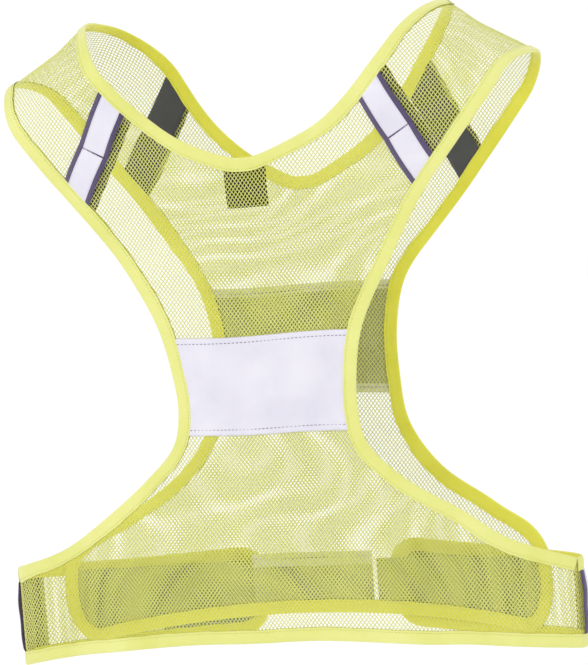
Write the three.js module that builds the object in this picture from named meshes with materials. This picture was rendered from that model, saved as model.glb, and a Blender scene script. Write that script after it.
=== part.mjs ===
// High-visibility running vest: back and front mesh panels joined over both shoulders,
// bound edges, reflective patches and tapes, and two waist tabs that close on the front wings.
// Millimetres. +Z up, the wearer faces +Y, +X is the wearer's right.
// The origin lies midway between the two shoulder straps, at the height where they rest.
import * as THREE from 'three';

// ---------- driving dimensions ----------
const HEIGHT = 564;            // lowest hem to the top of the neck edge at the shoulder
const WAIST_HALF = 262;        // half width across the two side folds
const WAIST_DEPTH = 112;       // front to back at the waist band
const CHEST_DEPTH = 114;       // front to back at the narrow chest
const SHOULDER_DEPTH = 164;    // front to back at the foot of the shoulder arch
const ARCH_HEIGHT = 70;        // rise of the strap over the shoulder
const REST_DROP = 23;          // shoulder rest below the top of the neck edge
const STRAP_SLOPE = 0.575;     // fall of the strap top from neck to arm
const CHEST_HALF = 84;         // half width of the narrow chest
const BAND_HEIGHT = 80;        // height of the waist band
const BACK_NECK_DROP = 121;    // back neckline below the top of the neck edge
const FRONT_NECK_DROP = 145;   // front neckline below the top of the neck edge
const HEM_ARCH_BACK = 20;      // rise of the back hem towards its middle
const HEM_ARCH_FRONT = 18;     // rise of the front hem towards its middle
const WING_HALF = 234;         // reach of each front wing from the middle
const LEFT_TAB_TIP = 44;       // left tab tip, left of the middle, as fastened
const RIGHT_TAB_TIP = 73;      // right tab tip, right of the middle, as fastened
const LEFT_TAB_RISE = 11;      // how far the left tab slants upwards by its tip
const RIGHT_TAB_RISE = 16;     // how far the right tab slants upwards by its tip
const BINDING = 12;            // width of the edge binding
const TAPE = 30;               // width of the reflective webbing
const SILVER = 21;             // width of the silver strip on the webbing
const BACKING_SHIFT_BACK = 7;  // back backing strips lie this far to the wearer's right of the webbing
const BACKING_SHIFT_FRONT = 3; // front backing strips lie this far to the wearer's left of the webbing
const BACK_PATCH_HEIGHT = 86;
const CHEST_PATCH_HEIGHT = 100;
const WAIST_PATCH_HALF = 57;
const WAIST_PATCH_HEIGHT = 55;
const LABEL_WIDTH = 38;
const LABEL_HEIGHT = 40;
const TAB_RADIUS = 27;         // corner radius of the tab tips
const MESH = 0.8;              // thickness of the mesh fabric
const CLOTH = 0.7;             // thickness of binding, patch and webbing fabric
const FILM = 0.4;              // thickness of the silver strip
const PAD = 1.2;               // thickness of the hook and loop pads
const GAP = 0.45;              // air between touching layers
const SEAM = 0.3;              // air between pieces that meet edge to edge

// ---------- derived sizes ----------
const KX = WAIST_HALF / 262;
const KZ = HEIGHT / 564;
const TOP = 278 * KZ;
const HEM = TOP - HEIGHT;
const REST_Z = TOP - REST_DROP;
const TOP_IN = 162 * KX;
const TOP_OUT = 242 * KX;
const FOOT_LEVEL = 200 * KZ;
const ARCH_LENGTH = 1.571 * Math.sqrt((SHOULDER_DEPTH * SHOULDER_DEPTH / 4 + ARCH_HEIGHT * ARCH_HEIGHT) / 2);
const FACE = MESH / 2 + GAP;          // inner face of anything laid on the mesh
const TAPE_OUT = FACE + CLOTH;        // outer face of binding, patch and webbing
const TAB_LIFT = 2 * (FACE + PAD) + GAP; // how far the front wings lie under the tabs
const HINGE_BACK = 8;                 // hinge line, back of the side fold along the band

const clamp01 = (v) => Math.min(1, Math.max(0, v));
const smooth = (v) => {
  const c = clamp01(v);
  return c * c * (3 - 2 * c);
};

// ---------- the body form ----------
function halfDepth(z) {
  const k = z / KZ;
  const low = THREE.MathUtils.lerp(WAIST_DEPTH, CHEST_DEPTH, smooth((k + 200) / 200));
  return THREE.MathUtils.lerp(low, SHOULDER_DEPTH, smooth((k - 10) / 175)) / 2;
}

function halfWidth(z) {
  const k = z / KZ;
  return WAIST_HALF * (1 + 0.95 * smooth((k + 195) / 330));
}

function arcLength(phi, w, h) {
  const n = 24;
  let sum = 0;
  for (let i = 0; i < n; i++) {
    const a = (phi * (i + 0.5)) / n;
    sum += Math.hypot(w * Math.cos(a), h * Math.sin(a));
  }
  return (sum * phi) / n;
}

// Angle at an arc length. Past the side fold it is measured back from the far middle,
// so the steps never overshoot.
function sectionAngle(u, w, h) {
  const quarter = arcLength(Math.PI / 2, w, h);
  const near = u > quarter ? 2 * quarter - u : u;
  let phi = near / w;
  for (let i = 0; i < 12; i++) {
    const slope = Math.hypot(w * Math.cos(phi), h * Math.sin(phi));
    phi = Math.min(Math.PI / 2, phi - (arcLength(phi, w, h) - near) / slope);
  }
  return u > quarter ? Math.PI - phi : phi;
}

function foldLength(z) {
  return arcLength(Math.PI / 2, halfWidth(z), halfDepth(z));
}

// Point of the form: u runs round the body from the middle, s runs up and over the shoulder.
function formPoint(u, s, side) {
  const level = Math.min(s, FOOT_LEVEL);
  const w = halfWidth(level);
  const h = halfDepth(level);
  const phi = sectionAngle(Math.abs(u), w, h);
  const x = Math.sign(u) * w * Math.sin(phi);
  const foot = TOP - STRAP_SLOPE * (Math.abs(x) - TOP_IN) - ARCH_HEIGHT;
  if (s <= foot) {
    const wz = halfWidth(s);
    const hz = halfDepth(s);
    const p = sectionAngle(Math.abs(u), wz, hz);
    return new THREE.Vector3(Math.sign(u) * wz * Math.sin(p), side * hz * Math.cos(p), s);
  }
  const turn = ((s - foot) / ARCH_LENGTH) * (Math.PI / 2);
  const depth = halfDepth(foot) * Math.cos(phi);
  return new THREE.Vector3(x, side * depth * Math.cos(turn), foot + ARCH_HEIGHT * Math.sin(turn));
}

// Pattern height of the shoulder line at a distance round the body.
function topLevel(u) {
  const w = halfWidth(FOOT_LEVEL);
  const x = w * Math.sin(sectionAngle(Math.abs(u), w, halfDepth(FOOT_LEVEL)));
  return TOP - STRAP_SLOPE * (x - TOP_IN) - ARCH_HEIGHT + ARCH_LENGTH;
}

function formNormal(u, s, side) {
  const e = 0.5;
  const du = formPoint(u + e, s, side).sub(formPoint(u - e, s, side));
  const ds = formPoint(u, s + e, side).sub(formPoint(u, s - e, side));
  return du.cross(ds).normalize().multiplyScalar(-side);
}

// The front panel lies under the tabs at the waist and meets the form at the chest.
function baseLift(s, side) {
  return side > 0 ? -TAB_LIFT * (1 - smooth((s / KZ + 150) / 130)) : 0;
}

// A tab slants upwards from the hinge line to its tip.
function slant(u, side) {
  const reach = Math.abs(u) - HINGE_U;
  if (side > 0 || reach <= 0) return 0;
  const tip = u < 0 ? LEFT_TAB_TIP * KX : RIGHT_TAB_TIP * KX;
  const rise = u < 0 ? LEFT_TAB_RISE : RIGHT_TAB_RISE;
  return rise * Math.pow(reach / (2 * FOLD - tip - HINGE_U), 1.5);
}

function place(u, level, side, lift) {
  const s = level + slant(u, side);
  const p = formPoint(u, s, side);
  p.addScaledVector(formNormal(u, s, side), lift + baseLift(s, side));
  p.z -= REST_Z;
  return p;
}

// ---------- solids ----------
function finish(name, positions, triangles, material) {
  const geometry = new THREE.BufferGeometry();
  const flat = positions.flatMap((p) => [p.x, p.y, p.z]);
  geometry.setAttribute('position', new THREE.Float32BufferAttribute(flat, 3));
  let volume = 0;
  for (const [a, b, c] of triangles) {
    volume += positions[a].dot(positions[b].clone().cross(positions[c]));
  }
  const order = volume < 0 ? triangles.map((t) => [t[0], t[2], t[1]]) : triangles;
  geometry.setIndex(order.flat());
  geometry.computeVertexNormals();
  const mesh = new THREE.Mesh(geometry, material);
  mesh.name = name;
  return mesh;
}

// A flat pattern of points and triangles, thickened between two lifts on the form.
function thicken(name, pattern, side, low, high, material) {
  const n = pattern.points.length;
  const positions = [];
  for (const lift of [high, low]) {
    for (const [u, s] of pattern.points) positions.push(place(u, s, side, lift));
  }
  const triangles = [];
  const edges = new Map();
  for (const [a, b, c] of pattern.triangles) {
    triangles.push([a, b, c]);
    triangles.push([a + n, c + n, b + n]);
    for (const [p, q] of [[a, b], [b, c], [c, a]]) {
      if (edges.has(q + '_' + p)) edges.delete(q + '_' + p);
      else edges.set(p + '_' + q, [p, q]);
    }
  }
  for (const [p, q] of edges.values()) {
    triangles.push([p, p + n, q + n]);
    triangles.push([p, q + n, q]);
  }
  return finish(name, positions, triangles, material);
}

function gridPattern(rows) {
  const points = [];
  const lookup = new Map();
  const triangles = [];
  const add = (p) => {
    const key = p[0].toFixed(4) + ',' + p[1].toFixed(4);
    if (!lookup.has(key)) {
      lookup.set(key, points.length);
      points.push(p);
    }
    return lookup.get(key);
  };
  for (const block of rows) {
    for (let i = 0; i + 1 < block.length; i++) {
      for (let j = 0; j + 1 < block[i].length; j++) {
        const a = add(block[i][j]);
        const b = add(block[i][j + 1]);
        const c = add(block[i + 1][j + 1]);
        const d = add(block[i + 1][j]);
        const halves = block.mirror ? [[a, b, d], [b, c, d]] : [[a, b, c], [a, c, d]];
        triangles.push(...halves.filter(([p, q, r]) => p !== q && q !== r && p !== r));
      }
    }
  }
  return { points, triangles };
}

// Folded edge tape: a U section carried along a bound edge. Open ends are cut square to the given leads.
function bind(name, stations, closed, material, leads) {
  const outer = TAPE_OUT;
  const profile = [
    [0, -outer], [BINDING, -outer], [BINDING, -FACE], [CLOTH, -FACE],
    [CLOTH, FACE], [BINDING, FACE], [BINDING, outer], [0, outer],
  ];
  const n = stations.length;
  const line = closed ? [stations[n - 1], ...stations, stations[0]] : [leads[0], ...stations, leads[1]];
  const centre = line.map((k) => place(k[0], k[1], k[2], 0));
  const positions = [];
  stations.forEach(([u, s, side], i) => {
    const before = !closed && i === n - 1 ? centre[i + 1] : centre[i];
    const after = !closed && i === 0 ? centre[1] : centre[i + 2];
    const along = after.clone().sub(before).normalize();
    const inward = along.cross(formNormal(u, s, side)).normalize();
    const e = 0.5;
    const du = formPoint(u + e, s, side).sub(formPoint(u - e, s, side));
    const ds = formPoint(u, s + e, side).sub(formPoint(u, s - e, side));
    const goU = inward.dot(du) / du.lengthSq();
    const goS = inward.dot(ds) / ds.lengthSq();
    for (const [reach, lift] of profile) positions.push(place(u + reach * goU, s + reach * goS, side, lift));
  });
  const m = profile.length;
  const triangles = [];
  const last = closed ? n : n - 1;
  for (let i = 0; i < last; i++) {
    const a = i * m;
    const b = ((i + 1) % n) * m;
    for (let j = 0; j < m; j++) {
      const k = (j + 1) % m;
      triangles.push([a + j, b + j, b + k]);
      triangles.push([a + j, b + k, a + k]);
    }
  }
  if (!closed) {
    const cap = [[0, 1, 2], [0, 2, 3], [0, 3, 4], [0, 4, 7], [4, 5, 6], [4, 6, 7]];
    const e = (n - 1) * m;
    for (const [p, q, r] of cap) {
      triangles.push([p, q, r]);
      triangles.push([e + p, e + r, e + q]);
    }
  }
  return finish(name, positions, triangles, material);
}

// ---------- outlines, on the pattern ----------
// Smooth line through the points, cut at the given shares of its length.
function curve(points, shares) {
  const knots = points.map((p) => new THREE.Vector3(p[0], p[1], 0));
  const line = new THREE.CatmullRomCurve3(knots, false, 'centripetal');
  line.arcLengthDivisions = 800;
  return shares.map((t) => {
    const p = line.getPointAt(clamp01(t));
    return [p.x, p.y];
  });
}

// Even steps, shorter towards the far end when crowd is over 1.
function evenly(count, crowd) {
  return Array.from({ length: count + 1 }, (_, i) => 1 - Math.pow(1 - i / count, crowd));
}

// A neck edge leaves the middle of the vest level.
function neckCurve(points, count) {
  const first = points[0];
  const level = [first[0] + 9 * KX, first[1] + 0.7];
  return curve([first, level, ...points.slice(1)], evenly(count, 1.25));
}

const bandTop = HEM + BAND_HEIGHT;
const FOLD = foldLength(HEM + BAND_HEIGHT / 2);
const HINGE_U = FOLD - HINGE_BACK;
const strapTopIn = topLevel(TOP_IN);
const strapTopOut = topLevel(TOP_OUT);
const chestGain = CHEST_HALF - 84 * KX;

// Edge points as measured on the standard size, scaled, with the chest width set on its own.
const edge = (points) => points.map(([x, z]) => {
  const chest = 1 - smooth(Math.abs(z + 40) / 130);
  return [x * KX + chestGain * chest, z * KZ];
});

const backArmLow = [[207, -183], [166, -156], [118, -123], [89, -93], [82, -62], [84, -30]];
const backArmHigh = [[93, 8], [119, 60], [152, 112], [190, 158], [218, 197]];
const frontArmLow = [[215, -183], [176, -162], [124, -128], [97, -90], [89, -47], [87, -6]];
const frontArmHigh = [[98, 38], [127, 79], [161, 122], [194, 162], [219, 199]];
const SPLIT_HIGH = 21;
// The back edge turns tightly at the side fold, so its steps are short there.
const BACK_STEPS = [
  0, 0.014, 0.028, 0.044, 0.062, 0.085, 0.12,
  ...evenly(14, 1).slice(1).map((t) => 0.12 + 0.88 * t),
];
const FRONT_STEPS = evenly(11, 1);

function armEdge(start, low, high, steps) {
  const mid = edge(high.slice(0, 1))[0];
  const all = [...start, ...edge(low), ...edge(high), [234 * KX, strapTopOut - 40],
    [TOP_OUT - 1.6, strapTopOut - 15], [TOP_OUT, strapTopOut]];
  const fine = curve(all, evenly(240, 1));
  let cut = 0;
  fine.forEach((p, i) => {
    const off = (q) => Math.hypot(q[0] - mid[0], q[1] - mid[1]);
    if (off(p) < off(fine[cut])) cut = i;
  });
  const lower = curve(fine.slice(0, cut + 1), steps);
  const upper = curve(fine.slice(cut), evenly(SPLIT_HIGH, 1.25));
  return lower.concat(upper.slice(1));
}

const backArm = armEdge([[HINGE_U - SEAM / 2, bandTop]], backArmLow, backArmHigh, BACK_STEPS);
const frontArm = armEdge([
  [WING_HALF, bandTop - 0.32 * BAND_HEIGHT],
  [WING_HALF - 3, bandTop + 0.04 * BAND_HEIGHT],
], frontArmLow, frontArmHigh, FRONT_STEPS);

const backNeckLow = TOP - BACK_NECK_DROP;
const frontNeckLow = TOP - FRONT_NECK_DROP;
const backNeck = neckCurve([
  [0, backNeckLow], [32 * KX, backNeckLow + 8], [64 * KX, backNeckLow + 23], [91 * KX, backNeckLow + 44],
  [112 * KX, backNeckLow + 65], [129 * KX, backNeckLow + 86], [148 * KX, strapTopIn - 46],
  [TOP_IN - 2.6, strapTopIn - 18], [TOP_IN, strapTopIn],
], SPLIT_HIGH);
const frontNeck = neckCurve([
  [0, frontNeckLow], [28 * KX, frontNeckLow + 10], [54 * KX, frontNeckLow + 27], [76 * KX, frontNeckLow + 47],
  [92 * KX, frontNeckLow + 67], [106 * KX, frontNeckLow + 88], [121 * KX, frontNeckLow + 112],
  [145 * KX, strapTopIn - 46],
  [TOP_IN - 2.6, strapTopIn - 18], [TOP_IN, strapTopIn],
], SPLIT_HIGH);

// ---------- panels ----------
const BACK_COLUMNS = [0, 0.23, 0.45, 0.65, 0.8, 0.88, 0.93, 0.965, 0.984, 1];
const FRONT_COLUMNS = [0, 0.2, 0.4, 0.58, 0.74, 0.88, 1];
const EDGE_INSET = CLOTH + 0.8;

// One row of the panel; rows that start on the middle line leave it level.
function panelRow(inner, outer, columns) {
  return columns.map((t) => {
    const rise = inner[0] < 1 ? t * t : t;
    return [inner[0] + (outer[0] - inner[0]) * t, inner[1] + (outer[1] - inner[1]) * rise];
  });
}

function insetLine(line, distance, sign) {
  return line.map((p, i) => {
    const a = line[Math.max(0, i - 1)];
    const b = line[Math.min(line.length - 1, i + 1)];
    const len = Math.hypot(b[0] - a[0], b[1] - a[1]);
    return [p[0] - (sign * distance * (b[1] - a[1])) / len, p[1] + (sign * distance * (b[0] - a[0])) / len];
  });
}

function mirrorRows(rows) {
  const out = rows.map((row) => row.map(([u, s]) => [-u, s]).reverse());
  out.mirror = true;
  return out;
}

function panel(name, side, arm, neck, hemMiddle, sideEnd, bandRows, steps, columns, material) {
  const necks = insetLine(neck, EDGE_INSET, -1);
  necks[0] = [0, neck[0][1] - EDGE_INSET];
  const arms = insetLine(arm, EDGE_INSET, 1);
  const rise = arms.length - necks.length;
  const low = necks[0][1];
  const base = hemMiddle + EDGE_INSET;
  const bandRise = (arms[0][1] - hemMiddle) * 0.7;
  const bow = side < 0 ? 1.6 : 1;
  const lower = [];
  for (let i = 0; i < bandRows; i++) {
    lower.push(panelRow([0, base + (bandRise * i) / bandRows], sideEnd(i / bandRows), columns));
  }
  for (let i = 0; i <= rise; i++) {
    const middle = base + bandRise + (low - base - bandRise) * Math.pow(steps[i], bow);
    lower.push(panelRow([0, middle], arms[i], columns));
  }
  const upper = necks.map((inner, i) => panelRow(inner, arms[rise + i], columns));
  upper[upper.length - 1].forEach((p) => {
    p[1] = topLevel(p[0]) - SEAM / 2 - 0.05;
  });
  const blocks = [lower, upper, mirrorRows(lower), mirrorRows(upper)];
  return thicken(name, gridPattern(blocks), side, -MESH / 2, MESH / 2, material);
}

// ---------- materials ----------
const paint = (color, roughness) => new THREE.MeshStandardMaterial({ color, roughness });
const meshCloth = paint(0xe6ee7c, 0.8);
const bindingCloth = paint(0xdde85a, 0.75);
const silverFilm = paint(0xe4e0ee, 0.45);
const webbingCloth = paint(0x5c4e78, 0.8);
const backingCloth = paint(0x4b4b4e, 0.85);
const padCloth = paint(0x3e4038, 0.95);
const labelCloth = paint(0x17171a, 0.8);

const vest = new THREE.Group();
vest.name = 'running_vest';
const add = (mesh) => vest.add(mesh);

// ---------- panels of the body ----------
const backHem = HEM + HEM_ARCH_BACK;
const frontHem = HEM + 10 * KZ + HEM_ARCH_FRONT;
const bandSide = (t) => [HINGE_U - SEAM / 2 - 0.1, HEM + EDGE_INSET + (BAND_HEIGHT - 2 * EDGE_INSET) * t];
add(panel('back_mesh_panel', -1, backArm, backNeck, backHem, bandSide, 2,
  BACK_STEPS, BACK_COLUMNS, meshCloth));

// The wing end is rounded from the hem up to the arm edge.
const wingLow = HEM + 10 * KZ;
const WING_ROUND = 30;
function wingPoint(t, inset) {
  const a = (1 - t) * 0.5 * Math.PI;
  const top = frontArm[0];
  const down = top[1] - wingLow - inset;
  return [top[0] - inset - (WING_ROUND - inset) * (1 - Math.cos(a)), top[1] - down * Math.sin(a)];
}
const wingSide = (t) => wingPoint(t, EDGE_INSET);
add(panel('front_mesh_panel', 1, frontArm, frontNeck, frontHem, wingSide, 5,
  FRONT_STEPS, FRONT_COLUMNS, meshCloth));

// ---------- edge bindings ----------
const onSide = (line, side) => line.map(([u, s]) => [u, s, side]);
const mirrored = (line) => line.map(([u, s, side]) => [-u, s, side]);
const flipped = (line) => line.slice().reverse();

const neckRight = onSide(backNeck, -1).concat(flipped(onSide(frontNeck, 1)).slice(1));
const neckLoop = neckRight.concat(flipped(mirrored(neckRight)).slice(1, -1));
add(bind('neck_binding', neckLoop, true, bindingCloth));

const armRight = onSide(backArm, -1).concat(flipped(onSide(frontArm, 1)).slice(1));
const armLeads = [[HINGE_U + 1, bandTop, -1], [WING_HALF, frontArm[0][1] - 1, 1]];
add(bind('right_armhole_binding', flipped(armRight), false, bindingCloth, flipped(armLeads)));
add(bind('left_armhole_binding', mirrored(armRight), false, bindingCloth, mirrored(armLeads)));

function hemLine(middle, end, columns) {
  return columns.map((t) => [end[0] * t, middle + (end[1] - middle) * t * t]);
}
const backHemRight = onSide(hemLine(backHem, [HINGE_U - SEAM / 2, HEM], BACK_COLUMNS), -1);
const wingBottom = wingPoint(0, 0);
const wingRound = [];
for (let i = 1; i <= 8; i++) wingRound.push(wingPoint(i / 8, 0));
wingRound[7][1] -= SEAM;
const frontHemRight = onSide(hemLine(frontHem, wingBottom, FRONT_COLUMNS).concat(wingRound), 1);
const across = (line) => flipped(mirrored(line)).concat(line.slice(1));
const hemLead = [HINGE_U + 1, HEM, -1];
const backHemAll = flipped(across(backHemRight));
add(bind('back_hem_binding', backHemAll, false, bindingCloth, [hemLead, ...mirrored([hemLead])]));
const wingLead = [WING_HALF, frontArm[0][1] + 1, 1];
const frontHemAll = across(frontHemRight);
add(bind('front_hem_binding', frontHemAll, false, bindingCloth, [...mirrored([wingLead]), wingLead]));

// ---------- pieces laid on the panels ----------
const CLEAR = BINDING + SEAM + 0.5;

function lineDistance(u, s, line) {
  let best = Infinity;
  for (let i = 0; i + 1 < line.length; i++) {
    const [x0, y0] = line[i];
    const dx = line[i + 1][0] - x0;
    const dy = line[i + 1][1] - y0;
    const t = clamp01(((u - x0) * dx + (s - y0) * dy) / (dx * dx + dy * dy));
    best = Math.min(best, Math.hypot(u - x0 - t * dx, s - y0 - t * dy));
  }
  return best;
}

// Walks from a point inside the panel until it meets the inner edge of a binding.
function walk(start, go, lines) {
  let t = 0;
  const clear = (l) => lineDistance(start[0] + go[0] * (t + 0.25), start[1] + go[1] * (t + 0.25), l) > CLEAR;
  while (t < 400 && lines.every(clear)) t += 0.25;
  return t;
}

// A strip across a strap, from binding to binding, cut to follow both edges.
function strapStrip(name, side, sign, arm, neck, width, shift, low, high, material) {
  const centre = [139 * KX + 0.88 * shift, 171 * KZ + 0.48 * shift];
  const go = [0.48, -0.88];
  const cross = [0.88, 0.48];
  const lines = [arm, neck];
  const rows = [];
  const columns = 3;
  for (let j = 0; j <= columns; j++) {
    const w = width * (j / columns - 0.5);
    const start = [centre[0] + cross[0] * w, centre[1] + cross[1] * w];
    const up = walk(start, [-go[0], -go[1]], lines);
    const down = walk(start, go, lines);
    const row = [];
    for (let i = 0; i <= 10; i++) {
      const t = -up + ((up + down) * i) / 10;
      row.push([sign * (start[0] + go[0] * t), start[1] + go[1] * t]);
    }
    rows.push(sign > 0 ? row : row.reverse());
  }
  return thicken(name, gridPattern([rows]), side, low, high, material);
}

const SILVER_IN = TAPE_OUT + SEAM;
for (const [hand, sign] of [['left', -1], ['right', 1]]) {
  for (const [face, side, arm, neck, shift] of [
    ['back', -1, backArm, backNeck, sign * BACKING_SHIFT_BACK],
    ['front', 1, frontArm, frontNeck, -sign * BACKING_SHIFT_FRONT],
  ]) {
    const id = face + '_' + hand + '_strap';
    const lay = (part, width, offset, low, high, material) => add(
      strapStrip(id + part, side, sign, arm, neck, width, offset, low, high, material),
    );
    lay('_webbing', TAPE, 0, FACE, TAPE_OUT, webbingCloth);
    lay('_silver', SILVER, 0, SILVER_IN, SILVER_IN + FILM, silverFilm);
    lay('_backing', TAPE, shift, -TAPE_OUT, -FACE, backingCloth);
  }
}

// A patch across the chest or back, from armhole binding to armhole binding.
function patch(name, side, arm, bottom, top, material) {
  const rows = [];
  for (let i = 0; i <= 8; i++) {
    const s = bottom + ((top - bottom) * i) / 8;
    const reach = walk([0, s], [1, 0], [arm]);
    rows.push(Array.from({ length: 9 }, (_, j) => [reach * (j / 4 - 1), s]));
  }
  return thicken(name, gridPattern([rows]), side, FACE + 0.1, TAPE_OUT + 0.1, material);
}
const backPatchTop = 3 * KZ;
const chestPatchTop = 38 * KZ;
add(patch('back_patch', -1, backArm, backPatchTop - BACK_PATCH_HEIGHT, backPatchTop, silverFilm));
add(patch('chest_patch', 1, frontArm, chestPatchTop - CHEST_PATCH_HEIGHT, chestPatchTop, silverFilm));

// A plain rectangle on the form.
function rectangle(name, side, u0, u1, s0, s1, low, high, columns, rowCount, material) {
  const rows = [];
  for (let i = 0; i <= rowCount; i++) {
    const s = s0 + ((s1 - s0) * i) / rowCount;
    rows.push(Array.from({ length: columns + 1 }, (_, j) => [u0 + ((u1 - u0) * j) / columns, s]));
  }
  return thicken(name, gridPattern([rows]), side, low, high, material);
}
const bandMiddle = HEM + BAND_HEIGHT / 2;
const patchLow = frontHem + CLEAR;
add(rectangle('waist_patch', 1, -WAIST_PATCH_HALF, WAIST_PATCH_HALF, patchLow,
  frontHem + WAIST_PATCH_HEIGHT, FACE, TAPE_OUT, 6, 2, silverFilm));
const labelTop = backNeckLow - 3;
add(rectangle('neck_label', -1, -LABEL_WIDTH / 2, LABEL_WIDTH / 2, labelTop - LABEL_HEIGHT, labelTop,
  -TAPE_OUT - GAP - FILM, -TAPE_OUT - GAP, 3, 3, labelCloth));

// ---------- waist tabs ----------
const TAB_COLUMNS = [0, 3, 6.5, 10, 14, 19, 25, 33, 46, 65, 90, 118];
const PAD_REACH = 84;
const PAD_HALF = BAND_HEIGHT / 2 - CLEAR - 3.2;
const LOOP_INNER = WAIST_PATCH_HALF + 4;

for (const [hand, sign, tipX] of [['left', -1, LEFT_TAB_TIP * KX], ['right', 1, RIGHT_TAB_TIP * KX]]) {
  const start = HINGE_U + SEAM / 2;
  const tip = 2 * FOLD - tipX;
  const r = TAB_RADIUS;
  const straight = tip - r;
  const flat = TAB_COLUMNS.filter((d) => start + d < straight - 15).map((d) => start + d);
  const last = flat[flat.length - 1];
  for (let i = 1; i <= 4; i++) flat.push(last + ((straight - last) * i) / 4);
  const corner = [1, 2, 3, 4, 5].map((i) => (i * Math.PI) / 10);
  const top = flat.map((u) => [u, bandTop]);
  const topCorner = corner.map((a) => [straight + r * Math.sin(a), bandTop - r * (1 - Math.cos(a))]);
  const bottomCorner = corner.map((a) => [straight + r * Math.sin(a), HEM + r * (1 - Math.cos(a))]);
  const bottom = flat.map((u) => [u, HEM]);
  const edgeLine = [...top, ...topCorner, ...flipped(bottomCorner), ...flipped(bottom)];
  const stations = edgeLine.map(([u, s]) => [sign * u, s, -1]);
  const leads = [[sign * (start - 1), bandTop, -1], [sign * (start - 1), HEM, -1]];
  add(bind(hand + '_tab_binding', sign > 0 ? stations : flipped(stations), false, bindingCloth,
    sign > 0 ? leads : flipped(leads)));

  const cut = r - EDGE_INSET;
  const half = flat.map((u) => [u, BAND_HEIGHT / 2 - EDGE_INSET]);
  half[0][0] += 0.1;
  corner.forEach((a) => half.push([straight + cut * Math.sin(a), BAND_HEIGHT / 2 - r + cut * Math.cos(a)]));
  const rows = [];
  for (let i = 0; i <= 3; i++) {
    const row = half.map(([u, h]) => [sign * u, bandMiddle + h * ((2 * i) / 3 - 1)]);
    rows.push(sign > 0 ? row : row.reverse());
  }
  add(thicken(hand + '_tab_mesh', gridPattern([rows]), -1, -MESH / 2, MESH / 2, meshCloth));

  const lay = (part, u0, u1, s0, s1, low, high, columnCount, material) => add(
    rectangle(hand + part, -1, Math.min(sign * u0, sign * u1), Math.max(sign * u0, sign * u1),
      s0, s1, low, high, columnCount, 1, material),
  );
  const tapeStart = start + 2;
  const tapeLow = HEM + CLEAR;
  const tapeHigh = bandTop - CLEAR;
  const border = (TAPE - SILVER) / 2;
  lay('_side_webbing', tapeStart, tapeStart + TAPE, tapeLow, tapeHigh, FACE, TAPE_OUT, 8, webbingCloth);
  lay('_side_silver', tapeStart + border, tapeStart + border + SILVER, tapeLow, tapeHigh,
    SILVER_IN, SILVER_IN + FILM, 6, silverFilm);
  lay('_hook_pad', tip - PAD_REACH - CLEAR - 5, tip - CLEAR - 5, bandMiddle - PAD_HALF, bandMiddle + PAD_HALF,
    -FACE - PAD, -FACE, 6, padCloth);

  // The loop pad fills the end of the wing up to its bindings.
  const loopOuter = WING_HALF - CLEAR - 3;
  const hemEdge = hemLine(frontHem, wingBottom, FRONT_COLUMNS).concat(wingRound);
  const loopRows = [[], [], []];
  for (let j = 0; j <= 8; j++) {
    const u = LOOP_INNER + ((loopOuter - LOOP_INNER) * j) / 8;
    const up = Math.min(30, walk([u, bandMiddle + 6], [0, 1], [frontArm, hemEdge]) - 1);
    const down = Math.min(26, walk([u, bandMiddle + 6], [0, -1], [frontArm, hemEdge]) - 1);
    for (let i = 0; i < 3; i++) loopRows[i].push([sign * u, bandMiddle + 6 - down + ((up + down) * i) / 2]);
  }
  add(thicken(hand + '_loop_pad', gridPattern([sign > 0 ? loopRows : loopRows.map((row) => row.reverse())]),
    1, FACE, FACE + PAD, padCloth));
}

export default vest;
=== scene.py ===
# High-visibility running vest: knitted mesh panels with bound edges, reflective patches and
# tapes, and two waist tabs. The cloth is built on the same body form as the CAD part.
import math

import bpy
import numpy as np
from mathutils import Matrix, Vector


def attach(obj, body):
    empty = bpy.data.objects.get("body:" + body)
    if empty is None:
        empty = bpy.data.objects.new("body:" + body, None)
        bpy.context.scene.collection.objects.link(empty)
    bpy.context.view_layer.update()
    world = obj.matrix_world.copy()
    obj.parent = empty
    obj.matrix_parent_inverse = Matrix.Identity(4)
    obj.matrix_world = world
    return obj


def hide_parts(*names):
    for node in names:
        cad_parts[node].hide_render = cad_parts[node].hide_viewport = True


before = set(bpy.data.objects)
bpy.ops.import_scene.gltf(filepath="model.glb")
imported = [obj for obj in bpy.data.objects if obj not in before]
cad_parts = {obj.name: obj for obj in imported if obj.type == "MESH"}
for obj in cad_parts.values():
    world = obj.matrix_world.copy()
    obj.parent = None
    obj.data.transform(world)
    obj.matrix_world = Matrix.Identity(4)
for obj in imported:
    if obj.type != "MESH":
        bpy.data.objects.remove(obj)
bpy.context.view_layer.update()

# ---------- camera ----------
AZIMUTH = math.radians(19)
ELEVATION = math.radians(4)
ROLL = math.radians(4.4)
DISTANCE = 3.0
TARGET = Vector((0, 0, -0.255))
ASIDE = 0.0165       # aim this far to the right of the target

camera_data = bpy.data.cameras.new("camera")
camera_data.lens = 184.6
camera_data.sensor_width = 36
camera_data.clip_end = 50
camera = bpy.data.objects.new("camera", camera_data)
bpy.context.scene.collection.objects.link(camera)
bpy.context.scene.camera = camera
flat = math.cos(ELEVATION)
back = Vector((math.sin(AZIMUTH) * flat, -math.cos(AZIMUTH) * flat, math.sin(ELEVATION)))
level = Vector((math.cos(AZIMUTH), math.sin(AZIMUTH), 0))
rise = back.cross(level)
right = level * math.cos(ROLL) - rise * math.sin(ROLL)
up = back.cross(right)
turned = Matrix((right, up, back)).transposed().to_4x4()
camera.matrix_world = Matrix.Translation(TARGET + right * ASIDE + back * DISTANCE) @ turned

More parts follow.
